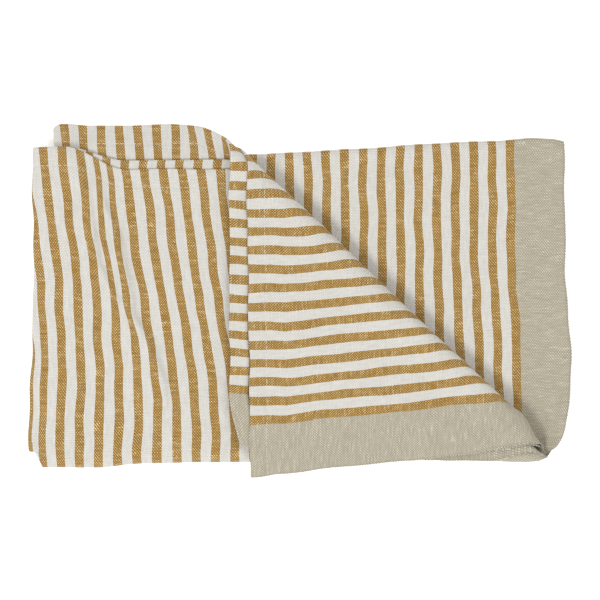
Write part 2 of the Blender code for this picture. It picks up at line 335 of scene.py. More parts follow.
# The tip of the roll is pulled down and in, which ends again further down.
TIP_LOWER = 7.8 * MM
TIP_LOWER_RIGHT = (106 * MM, 126 * MM)
TIP_IN = 4.5 * MM
TIP_IN_RIGHT = (110 * MM, 126 * MM)
TIP_DOWN = (-44 * MM, -60 * MM)
TIP_ENDS_DOWN = (-65 * MM, -84 * MM)

# The whole corner is rounded where x - y passes ROUND_FROM, and it curls up.
ROUND_FROM = 197 * MM
ROUND_RUN = 6 * MM
CURL = 5.0 * MM
CURL_RIGHT = (119 * MM, 131 * MM)
CURL_DOWN = (-38 * MM, -66 * MM)

# At the left corner of the foot, the last bit of the long fold ends further up.
FOLD_END = 7.4 * MM
FOLD_END_LEFT = (-130.6 * MM, -132.6 * MM)
FOLD_END_DOWN = (-58 * MM, -76 * MM)

# The stack's soft unevenness: waves that lift each layer by its share of the stack's height.
RIPPLES = (
    # waves per metre along x and y, where the wave starts as a share of its length, height
    (9.0, 5.0, 0.10, 0.22 * MM),
    (-6.0, 13.0, 0.55, 0.20 * MM),
    (17.0, -4.0, 0.35, 0.16 * MM),
    (12.0, 21.0, 0.80, 0.12 * MM),
    (-27.0, 11.0, 0.20, 0.10 * MM),
    (24.0, 33.0, 0.65, 0.06 * MM),
)

# Small waves in the plane, which all the layers at a place share.
WOBBLES = (
    # waves per metre along x and y, where the wave starts as a share of its length, right, up
    (11.0, 19.0, 0.20, 0.22 * MM, 0.18 * MM),
    (-18.0, 31.0, 0.60, 0.20 * MM, -0.16 * MM),
    (29.0, 43.0, 0.40, 0.13 * MM, 0.15 * MM),
)

# Where the middle of the outline, which is the origin of the finished part, lies in the frame in which
# the cloth is folded. The camera looks straight down on that frame's own origin.
OUTLINE_MIDDLE = (0.765 * MM, 0.112 * MM)
VIEW_WIDTH = 300 * MM
CAMERA_HEIGHT = 3.0
CAMERA_SEES_TO = 20.0
SENSOR = 36.0

# Cells of the mesh on the passes, on the wraps, round a fold or a hem's edge (to EDGE_HALF on either
# side of it) and on the hems. Beyond MAIN_ACROSS from the long fold come the selvedges' cells.
BASE_CELL = 4.9 * MM
WRAP_CELL = 1.2 * MM
EDGE_CELL = 0.3 * MM
EDGE_HALF = 1.2 * MM
HEM_CELL = 2.5 * MM
MAIN_ACROSS = 215 * MM
SELVEDGE_CELLS = 8
ROUNDING = 0.001

# Cells that can be seen from above are cut finer. Those of each pass are found by how far they lie past
# the roll's outermost line before they are rolled, and near the hems by how far they lie from the hem.
LONGEST_CELL = 2.6 * MM
FINE_CUTS = 2
SEEN_A_TO = 8 * MM
SEEN_C_FROM = -16 * MM
SEEN_D_FROM = -14 * MM
SEEN_HEM_A = 24 * MM
SEEN_HEM_D = 30 * MM

# The stitches of the hems, which start a share of their pitch after the last one. The thread arches
# and is flattened by shares of its radius, and its ends are sunk in the cloth.
STITCH_PITCH = 2.9 * MM
STITCH_LENGTH = 2.1 * MM
STITCH_START = 0.2
STITCH_RINGS = 6
STITCH_SIDES = 6
THREAD_RADIUS = 0.13 * MM
THREAD_ARCH = 1.2
THREAD_SUNK = 0.5
THREAD_FLAT = 0.8

# The weft's loops along the selvedges, where it turns back: one for every two picks. Half their width
# is a share of their pitch, and their lift one of the cloth's thickness.
LOOP_SEED = 3
LOOP_POINTS = 6
LOOP_SIDES = 5
LOOP_REACH = (0.25 * MM, 0.6 * MM)
LOOP_RADIUS = 0.16 * MM
LOOP_HALF_WIDTH = 0.25
LOOP_LIFT = 0.3
LOOP_ROOT = 0.2 * MM

# The weave, in millimetres. A repeat of the warp has ochre yarns first, then white ones.
REPEAT_YARNS = 15
OCHRE_YARNS = 7
WARP_YARN = STRIPE_PITCH / MM / REPEAT_YARNS
WEFT_YARN = 0.725

# The yarns wander by up to WANDER, at these scales across and along. Each yarn's thickness and shade
# change along it, and neighbours read the noise at places a step apart. Each noise has its own plane.
WANDER = 0.3
WANDER_ACROSS = 0.11
WANDER_ALONG = 0.09
YARN_CHANGE = 0.16
YARN_DETAIL = 3.0
WARP_STEP = 3.7
WEFT_STEP = 5.3
WANDER_PLANE = 7.0
WEFT_PLANE = 3.0
PATCH_PLANE = 11.0

# Lead is how far a yarn stands above the crossing ones, from its thin to its thick places.
WARP_LEAD = (-0.35, 0.95)
WEFT_LEAD = (-0.7, 0.7)
BUMP_STRENGTH = 0.5
BUMP_HEIGHT = 0.2 * MM

# Colours of the yarns, from dark to light places, and the tint that the warp gives the weft over it.
OCHRE_DARK = (0.21, 0.092, 0.008, 1.0)
OCHRE_LIGHT = (0.43, 0.235, 0.035, 1.0)
WHITE_DARK = (0.62, 0.60, 0.55, 1.0)
WHITE_LIGHT = (0.78, 0.76, 0.71, 1.0)
GREIGE_DARK = (0.33, 0.29, 0.205, 1.0)
GREIGE_LIGHT = (0.51, 0.465, 0.355, 1.0)
WEFT_DARK = (0.58, 0.56, 0.50, 1.0)
WEFT_LIGHT = (0.84, 0.82, 0.76, 1.0)
OVER_OCHRE = (1.0, 0.80, 0.46, 1.0)
OVER_GREIGE = (0.93, 0.90, 0.82, 1.0)
OVER_WHITE = (1.0, 1.0, 1.0, 1.0)
THREAD_DARK = (0.60, 0.58, 0.51, 1.0)
THREAD_LIGHT = (0.76, 0.74, 0.68, 1.0)
THREAD_FIBRES = 2500.0

# Painted shade darkens the low gaps between yarns and between picks, and the ochre has darker and
# lighter patches.
GAP_PAINTED_SHADE = 0.84
GAP_HEIGHTS = (0.35, 1.0)
PICK_PAINTED_SHADE = 0.9
PATCH_SHADE = (0.84, 1.14)
PATCH_SCALE = 0.16
PATCH_LONGER = 2.0

# The stage.
FLOOR_SIZE = 4.0
FLOOR_DROP = 0.05 * MM
FLOOR_WHITE = (0.95, 0.95, 0.95, 1.0)
FLOOR_GLOW = 0.45
WORLD_WHITE = (1.0, 1.0, 1.0, 1.0)
WORLD_STRENGTH = 0.6
LIGHTS = (
    # name, place, size, energy
    ("key_light", (-0.65, -0.75, 1.6), 0.6, 17.0),
    ("fill_light", (0.7, 0.6, 1.6), 1.0, 8.0),
)


def ease(start, end, value):
    """0 before start, 1 after end, smooth between. End may be the lower of the two."""
    part = np.clip((value - start) / (end - start), 0.0, 1.0)
    return part * part * (3.0 - 2.0 * part)


def read_table(table, column, place):
    """A column of a table at a place, which its first column gives, straight between its rows."""
    return np.interp(place, [row[0] for row in table], [row[column] for row in table])


def section(along):
    """Middle line of the back-and-forth section: y, z, and the side and up parts of its normal."""
    y = np.zeros_like(along)
    z = np.zeros_like(along)
    side = np.zeros_like(along)
    up = np.ones_like(along)

    def straight(start, end, from_y, way, height, face):
        """A pass: way is 1 up the towel and -1 down it, face is 1 where the outer face is up."""
        here = (along >= start) & (along <= end)
        y[here] = from_y + way * (along[here] - start)
        z[here] = height
        up[here] = face

    def wrap(start, end, axis_y, axis_z, radius, way, rise, face):
        """A turn: way is the side to which it bulges, rise is 1 where it leads up the stack."""
        here = (along > start) & (along < end)
        turn = (along[here] - start) / radius
        y[here] = axis_y + way * radius * np.sin(turn)
        z[here] = axis_z - rise * radius * np.cos(turn)
        side[here] = face * way * np.sin(turn)
        up[here] = -face * rise * np.cos(turn)

    straight(-HEM, A_FOOT, HEM_A + HEM, -1.0, HEIGHT_A, 1.0)
    wrap(A_FOOT, B_FOOT, FOOT, HEIGHT_WRAP, 3 * LAYER, -1.0, -1.0, 1.0)
    straight(B_FOOT, B_HEAD, FOOT, 1.0, HEIGHT_B, -1.0)
    wrap(B_HEAD, C_HEAD, HEAD, (HEIGHT_B + HEIGHT_C) / 2, LAYER, 1.0, 1.0, 1.0)
    straight(C_HEAD, C_FOOT, HEAD, -1.0, HEIGHT_C, 1.0)
    wrap(C_FOOT, D_FOOT, FOOT, HEIGHT_WRAP, LAYER, -1.0, 1.0, -1.0)
    straight(D_FOOT, LENGTH + HEM, FOOT, 1.0, HEIGHT_D, -1.0)
    return y, z, side, up


def half_fold(along, across, out):
    """The cloth folded in half: x, how far it lies out of its pass, and whether it is in front."""
    radius = LAYER / 2
    turned = read_table(EDGE_TURNED, 1, along)
    from_fold = across - WIDTH / 2 - read_table(STATIONS, 2, along) - turned
    front = from_fold < 0
    turn = np.clip(from_fold / radius, -math.pi / 2, math.pi / 2)
    flat = np.maximum(np.abs(from_fold) - radius * math.pi / 2, 0.0)
    flat = flat + np.where(front, -turned, turned) * (1 - np.exp(-flat / EDGE_RUN))
    x = read_table(STATIONS, 1, along) + radius - (radius + out) * np.cos(turn) + flat
    return x, -(radius + out) * np.sin(turn), front


def drag(x, y):
    """How far the top layer is pulled to the right: a slight stretch, less what its crease takes up."""
    taken = CREASE_TAKE_UP * ease(*CREASE_UP, y)
    middle = read_table(CREASE, 1, y)
    half = read_table(CREASE, 2, y)
    pull = read_table(STRETCH, 1, y) * np.clip(x - STRETCH_FROM, 0.0, STRETCH_RUN)
    return (pull - taken * ease(middle - half, middle + half, x)) * ease(*PULL_FADES, x)


def fold_height(x, y):
    """How far the soft folds lift the top pass."""
    lift = 0.0
    for line, height, grows, fades in FOLDS:
        beside = x - read_table(line, 1, y)
        run = np.where(beside < 0, FOLD_RUN_LEFT, FOLD_RUN_RIGHT)
        lift = lift + height * ease(*grows, y) * ease(*fades, y) * np.exp(-((beside / run) ** 2))
    return lift


def slip(x, y, front, on_a, on_d):
    """How far the lower layer of pass A and both layers of pass D have slipped to the right."""
    of_a = -SLIP_A_BACK * ease(*SLIP_A_BACK_RIGHT, x) * ease(*SLIP_A_BACK_LEFT, x)
    of_a = of_a * ease(*SLIP_A_BACK_UP, y)
    of_d = read_table(SLIP_D, 1, x) * ease(*SLIP_D_UP, y)
    drawn = SELVEDGE_IN * ease(*SELVEDGE_IN_RIGHT, x) * ease(*SELVEDGE_IN_DOWN, y)
    lean = LEAN * np.maximum(y - LEAN_FROM, 0.0) * ease(*LEAN_RIGHT, x) * ease(*LEAN_LEFT, x)
    of_back = -SLIP_D_BACK * ease(*SLIP_D_BACK_RIGHT, x) - lean
    of_back = of_back - SLIP_D_BACK_MORE * ease(*SLIP_D_BACK_MORE_RIGHT, x)
    of_d = of_d + np.where(front, read_table(SLIP_D_FRONT, 1, y) - drawn, of_back)
    return np.where(on_a & ~front, of_a, 0.0) + np.where(on_d, of_d, 0.0)


def shift_right(along, x, y, front, on_a, on_d):
    """x of a point, with all that moves it sideways before the corner is turned."""
    x = x + np.where(on_a & front, drag(x, y), 0.0) + slip(x, y, front, on_a, on_d)
    loose_front = read_table(LOOSE_SELVEDGE, 1, along)
    loose_back = read_table(LOOSE_SELVEDGE, 2, along)
    x = x + np.where(front, loose_front, loose_back) * ease(*LOOSE_SELVEDGE_RIGHT, x)
    x = x + HEM_D_CORNER * ease(*HEM_D_CORNER_ALONG, along) * ease(*HEM_D_CORNER_RIGHT, x)
    corner = np.where(along > C_HEAD, CORNER_IN, 0.0)
    return x - corner * ease(*CORNER_IN_RIGHT, x) * ease(*CORNER_IN_DOWN, y)


def stray_up(x, y, front, on_a, on_d):
    """How far passes A and D stray up or down the towel, most of all at their hems."""
    left = ease(*HEM_A_LEFT, x)
    raised_back = HEM_A_BACK_ALL * ease(*HEM_A_BACK_ALL_LEFT, x) + HEM_A_BACK * left
    raised = ease(*HEM_A_UP, y) * np.where(front, HEM_A_FRONT * left, raised_back)
    lowered_front = HEM_D_FRONT * ease(*HEM_D_FRONT_RIGHT, x)
    lowered_front = lowered_front + HEM_D_FRONT_MORE * ease(*HEM_D_FRONT_MORE_RIGHT, x)
    lowered_back = HEM_D_BACK * ease(*HEM_D_BACK_RIGHT, x)
    lowered_back = lowered_back + HEM_D_BACK_MORE * ease(*HEM_D_BACK_MORE_RIGHT, x)
    lowered = np.where(front, lowered_front, lowered_back) * (y - FOOT) / (HEM_D - FOOT)
    dips = read_table(HEM_D_DIPS, 1, x) * ease(*HEM_D_DIPS_UP, y)
    lowered = lowered + dips * np.where(front, ease(*HEM_D_DIPS_FRONT_LEFT, x), 1.0)
    return np.where(on_a, raised, 0.0) - np.where(on_d, lowered, 0.0)


def before_roll(along, across, out):
    """A point of the cloth folded in half and in quarters, and whether it is in an upper pass."""
    x, lift, front = half_fold(along, across, out)
    y, z, side, up = section(along)
    y = y + lift * side
    z = z + lift * up
    on_a = along <= A_FOOT + WRAP_OUT / 2
    on_d = along >= D_FOOT - WRAP_IN / 2
    x = shift_right(along, x, y, front, on_a, on_d)
    z = z + np.where(on_a, fold_height(x, y), 0.0)
    y = y + stray_up(x, y, front, on_a, on_d)
    y = y - FOOT_SAG * ease(*FOOT_SAG_DOWN, y) * ease(*FOOT_SAG_LEFT, x)
    corner = np.where(along < B_HEAD, CORNER_SAG, 0.0)
    y = y - corner * ease(*CORNER_SAG_DOWN, y) * ease(*CORNER_SAG_RIGHT, x)
    from_hem = np.where(front, along, LENGTH - along)
    return x, y, z + HEM_ROOM * ease(*HEM_ROOM_RUN, from_hem), on_a | on_d


def roll_over(x, y, z, middle_z, upper):
    """The upper layers beyond the diagonal rolled back over the towel, each at its own radius."""
    free = ease(*ROLL_FREE, y)
    beyond = (x + y - NOSE) / math.sqrt(2) + ROLL_REACH - ROLL_HELD * (1 - free)
    rolled = np.where(upper, np.maximum(beyond, 0.0), 0.0)
    high = ROLL_AXIS - z
    wide = high + ROLL_PUFF * free
    radius = ROLL_AXIS - middle_z
    arc = math.pi * np.sqrt((radius**2 + (radius + ROLL_PUFF * free) ** 2) / 2)
    turn = math.pi * np.clip(rolled / arc, 0.0, 1.0)
    over = np.maximum(rolled - arc, 0.0)
    shift = np.where(rolled > 0, wide * np.sin(turn) - over - rolled, 0.0) / math.sqrt(2)
    lift = np.where(rolled > 0, high * (1 - np.cos(turn)), 0.0)
    settled = (2 * ROLL_SLACK - LAYER) * ease(0.0, SETTLE, over)
    return x + shift, y + shift, z + lift - settled


def upper_share(along, z):
    """How far a point does what the upper passes do: not on B and C, and less and less down a wrap."""
    share = np.where(along < B_FOOT, (z - HEIGHT_B) / (HEIGHT_A - HEIGHT_B), 0.0)
    share = np.where(along > C_FOOT, (z - HEIGHT_C) / (HEIGHT_D - HEIGHT_C), share)
    return np.where((along <= A_FOOT) | (along >= D_FOOT), 1.0, np.clip(share, 0.0, 1.0))


def sink(x, y, slanted):
    """How far the upper passes sink past the head and past the side of the lower ones."""
    at_head = SINK_HEAD * ease(*SINK_HEAD_RUN, y - SINK_HEAD_FROM - HEAD_SLANT * slanted)
    at_side = SINK_SIDE * ease(*SINK_SIDE_RUN, SINK_SIDE_FROM - x)
    return np.maximum(at_head, at_side + EDGE_SINK * ease(*EDGE_SINK_LEFT, x))


def draw_in(x, y, z, share):
    """The corners at the foot: the roll's tip drawn in, the right corner rounded and curled up."""
    tip = share * ease(*TIP_DOWN, y) * (1 - ease(*TIP_ENDS_DOWN, y))
    tip_in = TIP_IN * tip * ease(*TIP_IN_RIGHT, x)
    tip_lower = TIP_LOWER * tip * ease(*TIP_LOWER_RIGHT, x)
    x = x - tip_in
    y = y - tip_lower
    past = np.maximum(x - y - ROUND_FROM, 0.0)
    back = (past - ROUND_RUN * (1 - np.exp(-past / ROUND_RUN))) / 2
    fold_end = FOLD_END * ease(*FOLD_END_LEFT, x) * ease(*FOLD_END_DOWN, y)
    curl = CURL * ease(*CURL_RIGHT, x) * ease(*CURL_DOWN, y)
    return x - back, y + back + fold_end, z + curl


def ripple(x, y):
    """How uneven the stack is at a place, as a share of its height."""
    lift = 0.0
    for wave_x, wave_y, start, height in RIPPLES:
        lift = lift + height * (1 + np.sin(2 * math.pi * (wave_x * x + wave_y * y + start)))
    return lift / HEIGHT_A


def wobble(x, y):
    """How far a place is moved to the right and up by the small waves in the plane."""
    right = 0.0
    up = 0.0
    for wave_x, wave_y, start, to_right, upwards in WOBBLES:
        wave = np.sin(2 * math.pi * (wave_x * x + wave_y * y + start))
        right = right + to_right * wave
        up = up + upwards * wave
    return right, up


def turn_hem(along, out):
    """The hem's turn: a place past an end of the cloth goes to the inner side of the cloth before it."""
    at_end = along > LENGTH / 2
    inward = np.where(at_end, LENGTH - along, along)
    turn = np.clip(inward / HEM_RADIUS, -math.pi / 2, math.pi / 2)
    flat = np.maximum(np.abs(inward) - HEM_RADIUS * math.pi / 2, 0.0)
    place = HEM_RADIUS - (HEM_RADIUS + out) * np.cos(turn) + flat
    height = (HEM_RADIUS + out) * np.sin(turn) - HEM_RADIUS
    beside = (np.abs(inward) - STITCH_LINE) / STITCH_PRESSED_RUN
    pressed = STITCH_PRESSED * np.exp(-(beside**2))
    height = height - pressed * np.where(inward > 0, np.maximum(out, 0.0), 0.0)
    return np.where(at_end, LENGTH - place, place), height


def fold(along, across, out):
    """Where a point of the flat cloth lies, at a height out of the cloth's middle."""
    along, out = turn_hem(along, out)
    middle_z = before_roll(along, across, np.zeros_like(along))[2]
    x, y, z, upper = before_roll(along, across, out)
    share = upper_share(along, middle_z)
    x, y, z = roll_over(x, y, z, middle_z, upper)
    slanted = np.maximum(x - SLANT_FROM, 0.0)
    y = y + read_table(STATIONS, 3, along) * slanted
    droop = HEAD_DROOP * ease(*HEAD_DROOP_RIGHT, x) + HEAD_END_DROOP * ease(*HEAD_END_DROOP_RIGHT, x)
    y = y - droop * ease(*HEAD_DROOP_UP, y)
    bulge = ease(*BULGE_DOWN, y) * ease(*BULGE_RIGHT, x) * ease(*BULGE_UP, y)
    x = x + BULGE * (1 - share) * bulge
    z = z - share * sink(x, y, slanted)
    x, y, z = draw_in(x, y, z, share)
    z = z + ripple(x, y) * np.maximum(z - SOLID_THICKNESS, 0.0)
    right, up = wobble(x, y)
    return x + right - OUTLINE_MIDDLE[0], y + up - OUTLINE_MIDDLE[1], z


def fold_across(along):
    """The place across the cloth at which the long fold lies."""
    return WIDTH / 2 + read_table(STATIONS, 2, along) + read_table(EDGE_TURNED, 1, along)


def steps(start, end, count):
    """Evenly spaced places from start on, without end."""
    return [start + (end - start) * i / count for i in range(count)]


def cells(start, end, size):
    """Evenly spaced places from start on, without end, at most a cell's size apart."""
    return steps(start, end, max(1, math.ceil((end - start) / size - ROUNDING)))


def lines_along():
    """Places of the mesh lines along the cloth, the turned hems included."""
    hem = cells(-HEM, -EDGE_HALF, HEM_CELL) + cells(-EDGE_HALF, EDGE_HALF, EDGE_CELL)
    hem += cells(EDGE_HALF, STITCH_LINE - EDGE_HALF, HEM_CELL)
    hem += cells(STITCH_LINE - EDGE_HALF, STITCH_LINE + EDGE_HALF, EDGE_CELL)
    inner = STITCH_LINE + EDGE_HALF
    lines = hem + cells(inner, A_FOOT, BASE_CELL) + cells(A_FOOT, B_FOOT, WRAP_CELL)
    lines += cells(B_FOOT, B_HEAD, BASE_CELL) + cells(B_HEAD, C_HEAD, WRAP_CELL)
    lines += cells(C_HEAD, C_FOOT, BASE_CELL) + cells(C_FOOT, D_FOOT, WRAP_CELL)
    lines += cells(D_FOOT, LENGTH - inner, BASE_CELL) + [LENGTH - inner]
    return lines + [LENGTH - place for place in hem[::-1]]


def lines_across(along):
    """Places of the mesh lines across the cloth, which keep to the long fold."""
    middle = float(fold_across(along))
    near = cells(EDGE_HALF, MAIN_ACROSS, BASE_CELL)
    front = [middle - d for d in near] + steps(middle - MAIN_ACROSS, 0.0, SELVEDGE_CELLS) + [0.0]
    back = [middle + d for d in near] + steps(middle + MAIN_ACROSS, WIDTH, SELVEDGE_CELLS) + [WIDTH]
    turn = [middle + d for d in cells(-EDGE_HALF, EDGE_HALF, EDGE_CELL)[1:]]
    return front[::-1] + turn + back


def shows(along, across):
    """Whether a place on the flat cloth can be seen from above, and so is given finer cells."""
    middle = np.zeros_like(along)
    turned_along = turn_hem(along, middle)[0]
    x, y, _, _ = before_roll(turned_along, across, middle)
    past = x + y - NOSE
    front = across < fold_across(along)
    seen_a = (along < A_FOOT) & (past < SEEN_A_TO) & (front | (along < SEEN_HEM_A))
    seen_c = (along > C_HEAD) & (along < C_FOOT) & (past > SEEN_C_FROM) & front
    seen_d = (along > D_FOOT) & np.where(front, past > SEEN_D_FROM, along > LENGTH - SEEN_HEM_D)
    return seen_a | seen_c | seen_d


def flat_cloth():
    """The flat cloth as a grid, with x along it and y across it, finer where it can be seen."""
    bm = bmesh.new()
    rows = [[bm.verts.new((a, c, 0.0)) for c in lines_across(a)] for a in lines_along()]
    for low, high in zip(rows, rows[1:]):
        for i in range(len(low) - 1):
            bm.faces.new((low[i], high[i], high[i + 1], low[i + 1]))
    middles = np.array([face.calc_center_median()[:2] for face in bm.faces])
    fine = shows(middles[:, 0], middles[:, 1])
    edges = {edge for face, seen in zip(bm.faces, fine) if seen for edge in face.edges}
    edges = [edge for edge in edges if edge.calc_length() > LONGEST_CELL]
    bmesh.ops.subdivide_edges(bm, edges=edges, cuts=FINE_CUTS, use_grid_fill=True)
    bmesh.ops.triangulate(bm, faces=[face for face in bm.faces if len(face.verts) > 4])
    bm.verts.index_update()
    return bm


def loop_ends(edge):
    """The ends of a boundary edge in the order in which its one face runs."""
    loop = edge.link_loops[0]
    return loop.vert, loop.link_loop_next.vert


def folded_object(name, flat, faces, material):
    """An object whose points are given in the flat cloth: along it, across it and out of its middle."""
    flat = np.asarray(flat)
    points = np.stack(fold(flat[:, 0], flat[:, 1], flat[:, 2]), axis=1)
    mesh = bpy.data.meshes.new(name)
    mesh.from_pydata(points.tolist(), [], faces)
    corners = np.empty(len(mesh.loops), np.int32)
    mesh.loops.foreach_get("vertex_index", corners)
    uv = mesh.uv_layers.new(name="flat")
    uv.uv.foreach_set("vector", flat[corners][:, 1::-1].ravel())
    mesh.shade_smooth()
    mesh.materials.append(material)
    piece = bpy.data.objects.new(name, mesh)
    bpy.context.scene.collection.objects.link(piece)
    return piece


def towel(material):
    """The cloth's two faces and the rim that joins them."""
    bm = flat_cloth()
    flat = np.array([vert.co[:2] for vert in bm.verts])
    faces = [[vert.index for vert in face.verts] for face in bm.faces]
    rim = [[vert.index for vert in loop_ends(edge)] for edge in bm.edges if edge.is_boundary]
    bm.free()
    count = len(flat)
    outer = [face[::-1] for face in faces]
    inner = [[i + count for i in face] for face in faces]
    edge = [(a, b, b + count, a + count) for a, b in rim]
    sides = [np.column_stack([flat, np.full(count, out)]) for out in (THICKNESS / 2, -THICKNESS / 2)]
    return folded_object("striped_cloth", np.concatenate(sides), outer + inner + edge, material)


def tube_faces(first, rings, sides):
    """Faces round a tube whose points run ring by ring, from the point with number first on."""
    faces = []
    for k in range(rings - 1):
        for turn in range(sides):
            a = first + k * sides + turn
            b = first + k * sides + (turn + 1) % sides
            faces.append((a, b, b + sides, a + sides))
    return faces


def ring_points(first, ring, sides):
    """Numbers of the points of one ring of such a tube."""
    start = first + ring * sides
    return [start + turn for turn in range(sides)]


def hem_stitches(material):
    """One row of short thread stitches along each hem, on the cloth's outer face."""
    flat = []
    faces = []
    for line in (STITCH_LINE, LENGTH - STITCH_LINE):
        for i in range(int(WIDTH / STITCH_PITCH)):
            start = STITCH_PITCH * (i + STITCH_START)
            first = len(flat)
            for k in range(STITCH_RINGS):
                part = k / (STITCH_RINGS - 1)
                rise = THREAD_RADIUS * (THREAD_ARCH * math.sin(math.pi * part) ** 0.5 - THREAD_SUNK)
                for turn in range(STITCH_SIDES):
                    angle = 2 * math.pi * turn / STITCH_SIDES
                    side = THREAD_RADIUS * math.cos(angle)
                    out = THICKNESS / 2 + rise + THREAD_FLAT * THREAD_RADIUS * math.sin(angle)
                    flat.append((line + side, start + STITCH_LENGTH * part, out))
            faces += tube_faces(first, STITCH_RINGS, STITCH_SIDES)
            faces.append(ring_points(first, 0, STITCH_SIDES)[::-1])
            faces.append(ring_points(first, STITCH_RINGS - 1, STITCH_SIDES))
    return folded_object("hem_stitches", flat, faces, material)


def selvedge_loops(material):
    """Along both selvedges the weft comes out as small uneven loops."""
    chance = random.Random(LOOP_SEED)
    pitch = 2 * WEFT_YARN * MM
    flat = []
    faces = []
    for side, edge in ((-1, 0.0), (1, WIDTH)):
        for i in range(int(LENGTH / pitch)):
            first = len(flat)
            reach = chance.uniform(*LOOP_REACH)
            lift = chance.uniform(-LOOP_LIFT, LOOP_LIFT) * THICKNESS
            for k in range(LOOP_POINTS):
                bend = math.pi * (k / (LOOP_POINTS - 1))
                for turn in range(LOOP_SIDES):
                    angle = 2 * math.pi * turn / LOOP_SIDES
                    wide = LOOP_HALF_WIDTH * pitch + LOOP_RADIUS * math.cos(angle)
                    far = reach + LOOP_RADIUS * math.cos(angle)
                    place = pitch * (i + 0.5) - wide * math.cos(bend)
                    out = lift + LOOP_RADIUS * math.sin(angle)
                    flat.append((place, edge + side * (far * math.sin(bend) - LOOP_ROOT), out))
            faces += [face[::side] for face in tube_faces(first, LOOP_POINTS, LOOP_SIDES)]
            faces.append(ring_points(first, 0, LOOP_SIDES)[::-side])
            faces.append(ring_points(first, LOOP_POINTS - 1, LOOP_SIDES)[::side])
    return folded_object("selvedge_loops", flat, faces, material)


def node(tree, kind, inputs=(), **settings):
    """A shader node with its settings made and its inputs linked or set, in order."""
    made = tree.nodes.new(kind)
    for name, value in settings.items():
        setattr(made, name, value)
    for place, value in enumerate(inputs):
        if hasattr(value, "is_output"):
            tree.links.new(value, made.inputs[place])
        elif value is not None:
            made.inputs[place].default_value = value
    return made


class Sums:
    """Short names for the sums of a node tree: each takes sockets or numbers and gives a socket."""

    def __init__(self, tree):
        self.tree = tree

    def do(self, operation, *values):
        return node(self.tree, "ShaderNodeMath", values, operation=operation).outputs[0]

    def mix(self, share, first, second):
        """The first where share is 0, the second where it is 1: numbers."""
        made = node(self.tree, "ShaderNodeMix", data_type="FLOAT")
        for place, value in ((0, share), (2, first), (3, second)):
            self.set(made.inputs[place], value)
        return made.outputs[0]

    def colour(self, share, first, second, blend="MIX"):
        """The same for colours, or another blend of them."""
        made = node(self.tree, "ShaderNodeMix", data_type="RGBA", blend_type=blend)
        for place, value in ((0, share), (6, first), (7, second)):
            self.set(made.inputs[place], value)
        return made.outputs[2]

    def set(self, socket, value):
        if hasattr(value, "is_output"):
            self.tree.links.new(value, socket)
        else:
            socket.default_value = value

    def noise(self, vector, scale, detail=2.0):
        made = node(self.tree, "ShaderNodeTexNoise", (vector,))
        made.inputs["Scale"].default_value = scale
        made.inputs["Detail"].default_value = detail
        return made.outputs[0]

    def grey(self, value):
        return node(self.tree, "ShaderNodeCombineColor", (value, value, value)).outputs[0]

    def vector(self, *values):
        return node(self.tree, "ShaderNodeCombineXYZ", values).outputs[0]

    def in_millimetres(self, length):
        return self.do("MULTIPLY", length, 1 / MM)

    def hump(self, yarn):
        """1 at a yarn's middle and 0 at its sides, from the place counted in yarns."""
        from_middle = self.do("SUBTRACT", self.do("FRACT", yarn), 0.5)
        return self.do("COSINE", self.do("MULTIPLY", from_middle, math.pi))

    def over_and_under(self, crossing, number):
        """1 where a yarn lies over the crossing ones and 0 where it lies under them."""
        wave = self.do("COSINE", self.do("MULTIPLY", self.do("ADD", crossing, number), math.pi))
        return self.do("MULTIPLY_ADD", wave, 0.5, 0.5)


